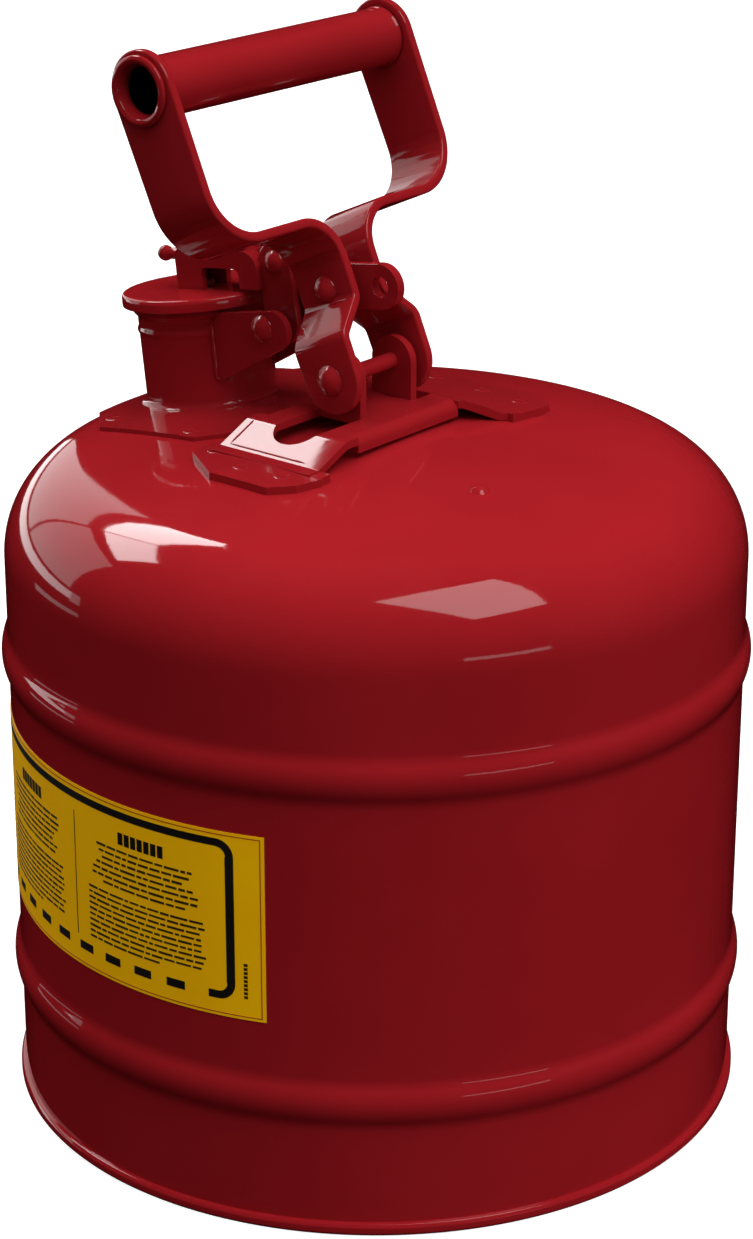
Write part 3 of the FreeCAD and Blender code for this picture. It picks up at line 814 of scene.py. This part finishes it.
def build_side_seam():
    """The wall's welded seam, a low bead that follows the ribs down the far side."""
    azimuth, half, rise, fade_from = math.radians(78.0), 1.6, 0.2, SHOULDER_Z - 2
    bead = [(-half, -0.1), (-0.75 * half, 0.06), (-0.3 * half, rise)]
    bead += [(-across, up) for across, up in bead[::-1]]
    bm = bmesh.new()
    rows = []
    for r, z in wall_profile(0.0, 4.4):
        if z > SHOULDER_Z + 0.1:
            break
        fade = 1.0 if z < fade_from else 0.2
        row = []
        for across, up in bead:
            turn = math.degrees(azimuth + across / BODY_R)
            row.append(bm.verts.new(on_wall(turn, r + (up * fade if up > 0 else up), z)))
        rows.append(row)
    skin(bm, rows)
    shown("wall_seam", bm, RED, "can", sharp=50)


def bead_along(bm, points, radius, rng):
    """A round bead along the points; with rng its thickness ripples as a weld's does."""
    rings, sides = [], 10
    for i, p in enumerate(points):
        before, after = points[max(i - 1, 0)], points[min(i + 1, len(points) - 1)]
        ahead = (after - before).normalized()
        side = ahead.cross(Vector((0.3, 0.9, 0.31))).normalized()
        up = side.cross(ahead)
        taper = 0.35 if i in (0, len(points) - 1) else 1.0
        ripple = (0.10 if i % 2 else -0.06) + rng.uniform(-0.05, 0.05) if rng else 0.0
        r = radius * MM * taper * (1 + ripple)
        rings.append([bm.verts.new(p + side * x + up * y) for x, y in circle(0, 0, r, sides)])
    skin(bm, rings)


def build_ear_welds():
    """Beads down both faces of each spout ear where it meets the tube, joined under its tip."""
    rng = random.Random(5)
    stand_off, aside, radius = 0.35, 0.3, 0.75
    outer = (14.0, aside, range(-9, -28, -1))
    inner = (11.5, -aside, range(-27, -12, 1))
    bm = bmesh.new()
    for sign in (-1, 1):
        points = []
        for y, shift, heights in (outer, inner):
            u = math.sqrt(SPOUT_R ** 2 - y * y) + stand_off
            points += [spout(u, sign * (y + shift), w) for w in heights]
        bead_along(bm, points, radius, rng)
    shown("ear_welds", bm, RED_PARTS_SHADED, "can", sharp=60)


def build_saddle_creases():
    """Two pressed lines on the saddle's near ramp, along its side and along its foot."""
    ramp_top_y, ramp_top_z, fall = -34.98, 228.1, math.tan(math.radians(23.7))
    side_x, foot_x, foot_y = -20.1, 10.5, -46.4
    radius, steps = 0.32, 12
    along_side = ((side_x, -35.4), (side_x, -46.0))
    along_foot = ((side_x, foot_y), (foot_x, foot_y))
    bm = bmesh.new()
    for start, end in (along_side, along_foot):
        points = []
        for k in range(steps + 1):
            x = start[0] + (end[0] - start[0]) * k / steps
            y = start[1] + (end[1] - start[1]) * k / steps
            points.append(world(x, y, ramp_top_z - fall * (ramp_top_y - y)))
        bead_along(bm, points, radius, None)
    shown("saddle_creases", bm, RED_PARTS_SHADED, "can", sharp=60)


def side_view(p):
    """The (x, z) millimetres of a point in metres."""
    return p.x / MM, p.z / MM


build_shell()
build_bottom()
build_neck()
build_cap()
build_label()
build_print()
build_strap(-1)
build_strap(1)
build_grip()
build_bore()
build_lever_plate(-1)
build_lever_plate(1)
build_arrester()
build_spot_welds()
build_pip()
build_side_seam()
build_ear_welds()
build_saddle_creases()

HINGE_AT = side_view(spout(HINGE[0], 0, HINGE[1]))
LINK_AT = side_view(spout(LINK[0], 0, LINK[1]))
NECK_AT = side_view(handle(0, 0, LINK_PIN_S))
# Shank radius, half the length between the heads, and each head's radius and height.
build_pin("hinge_rivet", "cap_hinge_pin", "can", HINGE_AT, 2.0, 14.0, 4.4, 2.6)
build_pin("lever_rivet", "lever_link_pin", "cap_arm", LINK_AT, 1.6, 4.7, 3.9, 2.1)
build_pin("neck_rivet", "handle_link_pin", "handle", NECK_AT, 2.0, 8.15, 4.3, 2.4)
build_pin("pivot_rivet", "handle_pivot_pin", "can", PIVOT, 2.6, 19.1, 4.8, 2.8)

# ---------- carried-over CAD nodes ----------

# Each node's material and the width of its softened edges, 0 where they are round already.
FINISH = {
    "spout_flange": (RED_PARTS_SHADED, 0.35),
    "spout_ear_near": (RED_PARTS_SHADED, 0.5),
    "spout_ear_far": (RED_PARTS_SHADED, 0.5),
    "saddle_bracket": (RED_PARTS_SHADED, 0.55),
    "link_plate": (RED_PARTS_SHADED, 0.6),
    "link_spacers": (SPRING, 0.2),
    "cap_lever": (RED_PARTS_SHADED, 0.5),
    "nose_rivet": (RED_PARTS_SHADED, 0),
    "cap_gasket": (RUBBER, 0.3),
    "gasket_retainer": (STEEL, 0.25),
    "cap_stud": (STEEL, 0.25),
    "closing_springs": (SPRING, 0),
    "arrester_retainer": (BRASS, 0),
}


def finish_node(name, material, edge):
    """Gives a CAD node its material and soft edges."""
    node = frame["nodes"][name]
    node.data.materials.clear()
    node.data.materials.append(material)
    weld = node.modifiers.new("weld", "WELD")
    weld.merge_threshold = 0.004 * MM
    if not edge:
        return
    flat = node.modifiers.new("merge_flats", "DECIMATE")
    flat.decimate_type = "DISSOLVE"
    flat.angle_limit = math.radians(0.6)
    soft = node.modifiers.new("soft_edges", "BEVEL")
    soft.width = edge * MM
    soft.segments = 3
    soft.limit_method = "ANGLE"
    soft.angle_limit = math.radians(40)
    soft.miter_outer = "MITER_ARC"
    soft.use_clamp_overlap = True
    normal = node.modifiers.new("face_weight", "WEIGHTED_NORMAL")
    normal.keep_sharp = True


for name, (material, edge) in FINISH.items():
    finish_node(name, material, edge)

# ---------- floor, lights, camera ----------

WHITE = (1.0, 1.0, 1.0, 1.0)
# Strength of the world's fill light above the horizon and below it.
FILL_ABOVE = 0.40
FILL_BELOW = 0.015
# What the soft lights stand round, and what the windows' directions are measured from, in metres.
TARGET = Vector((0.0, 0.0, 0.16))
GLOSS_FROM = Vector((-0.02, -0.09, 0.205))


def build_floor():
    """A pale floor that glows evenly for the camera and adds nothing to the object's light or gloss."""
    reach = 40.0
    mesh = bpy.data.meshes.new("floor")
    corners = [(-reach, -reach, 0), (reach, -reach, 0), (reach, reach, 0), (-reach, reach, 0)]
    mesh.from_pydata(corners, [], [(0, 1, 2, 3)])
    floor = bpy.data.objects.new("floor", mesh)
    scene.collection.objects.link(floor)
    pale, tree, shader = nodes_of("pale_floor")
    tone = ramp(tree, noise(tree, 3, 2.0), [(0.3, (0.60, 0.60, 0.60)), (0.7, (0.63, 0.63, 0.63))])
    tree.links.new(tone, shader.inputs["Base Color"])
    shader.inputs["Roughness"].default_value = 0.9
    shader.inputs["Specular IOR Level"].default_value = 0.1
    shader.inputs["Emission Color"].default_value = WHITE
    shader.inputs["Emission Strength"].default_value = 0.80
    mesh.materials.append(pale)
    floor.visible_glossy = False
    floor.visible_diffuse = False
    floor.visible_shadow = False


def studio_world():
    """Soft light from above the horizon, little from below, and a pale backdrop for the camera."""
    made = bpy.data.worlds.new("studio")
    scene.world = made
    made.use_nodes = True
    tree = made.node_tree
    fill = tree.nodes["Background"]
    fill.inputs["Color"].default_value = (1.0, 0.98, 0.97, 1.0)
    coords = tree.nodes.new("ShaderNodeTexCoord")
    split = tree.nodes.new("ShaderNodeSeparateXYZ")
    tree.links.new(coords.outputs["Generated"], split.inputs["Vector"])
    strength = span(tree, split.outputs["Z"], -0.25, 0.35, FILL_BELOW, FILL_ABOVE)
    tree.links.new(strength, fill.inputs["Strength"])
    backdrop = tree.nodes.new("ShaderNodeBackground")
    backdrop.inputs["Color"].default_value = WHITE
    backdrop.inputs["Strength"].default_value = 1.0
    rays = tree.nodes.new("ShaderNodeLightPath")
    choose = tree.nodes.new("ShaderNodeMixShader")
    tree.links.new(rays.outputs["Is Camera Ray"], choose.inputs["Fac"])
    tree.links.new(fill.outputs["Background"], choose.inputs[1])
    tree.links.new(backdrop.outputs["Background"], choose.inputs[2])
    tree.links.new(choose.outputs["Shader"], tree.nodes["World Output"].inputs["Surface"])
    made.cycles_visibility.glossy = False


def area_light(name, location, facing, width, height, radiance, glossy, diffuse):
    """An even rectangular light, hidden from the camera, that shines the opposite way to facing."""
    data = bpy.data.lights.new(name, "AREA")
    data.shape = "RECTANGLE"
    data.size = width
    data.size_y = height
    data.energy = radiance * math.pi * width * height
    lamp = bpy.data.objects.new(name, data)
    scene.collection.objects.link(lamp)
    lamp.location = location
    lamp.rotation_mode = "QUATERNION"
    lamp.rotation_quaternion = facing.to_track_quat("Z", "Y")
    lamp.visible_camera = False
    lamp.visible_glossy = glossy
    lamp.visible_diffuse = diffuse


def softbox(name, azimuth, elevation, distance, width, height, radiance):
    """A light for the surfaces' own colour, seen from the object at that azimuth and elevation."""
    a, e = math.radians(azimuth), math.radians(elevation)
    way = Vector((math.cos(a) * math.cos(e), math.sin(a) * math.cos(e), math.sin(e)))
    area_light(name, TARGET + way * distance, way, width, height, radiance, False, True)


def pane(name, azimuth, distance, half_deg, low_deg, high_deg, radiance):
    """An upright window seen only in the gloss: its middle azimuth, half width and two elevations."""
    a = math.radians(azimuth)
    way = Vector((math.cos(a), math.sin(a), 0.0))
    low = distance * math.tan(math.radians(low_deg))
    high = distance * math.tan(math.radians(high_deg))
    width = 2 * distance * math.tan(math.radians(half_deg))
    centre = GLOSS_FROM + way * distance + Vector((0, 0, (low + high) / 2))
    area_light(name, centre, way, width, high - low, radiance, True, False)


def build_camera():
    """Looks down at the can from its near side, with the spout to the left."""
    data = bpy.data.cameras.new("camera")
    data.sensor_width = 36.0
    data.lens = 91.2
    data.clip_start = 0.02
    camera = bpy.data.objects.new("camera", data)
    scene.collection.objects.link(camera)
    camera.location = (0.6041, -0.7276, 0.5239)
    camera.rotation_euler = (math.radians(68.735), 0, math.radians(39.7))
    scene.camera = camera


build_floor()
studio_world()
# Soft lights: azimuth, elevation, distance, width, height, radiance.
softbox("left_soft_low", 176, 14, 3.0, 1.9, 1.1, 3.2)
softbox("left_soft_high", 158, 38, 3.0, 1.3, 0.8, 3.0)
softbox("right_soft", -8, 52, 2.6, 1.5, 0.9, 5.0)
softbox("right_soft_low", 15, 12, 3.0, 1.6, 1.2, 2.3)
softbox("ceiling", 0, 89, 3.0, 3.0, 3.0, 2.35)
# Windows: azimuth, distance, half width, lower and upper elevation, radiance.
pane("window_strip", 175.5, 3.0, 32.0, -3.0, 2.6, 2.6)
pane("window_low_left", 158.2, 3.0, 14.6, 4.4, 34.0, 1.45)
pane("window_low_right", 190.2, 3.0, 16.0, 4.4, 35.0, 1.25)
pane("window_high_left", 159.2, 3.0, 13.8, 38.6, 50.8, 9.5)
pane("window_high_right", 187.6, 3.0, 13.8, 38.8, 50.8, 8.0)
pane("window_strip_end", 209.8, 3.0, 2.4, -4.0, 2.6, 1.0)
pane("window_sill", 199.0, 3.0, 12.0, -12.6, -9.8, 0.8)
pane("window_side", -11.0, 3.0, 13.0, -4.2, -1.2, 1.6)
ROOF_AT = GLOSS_FROM + Vector((2.0, -0.15, 2.5))
area_light("window_roof", ROOF_AT, Vector((0, 0, 1)), 2.35, 1.55, 3.4, True, False)
build_camera()
scene.view_settings.view_transform = "Standard"
scene.view_settings.look = "None"
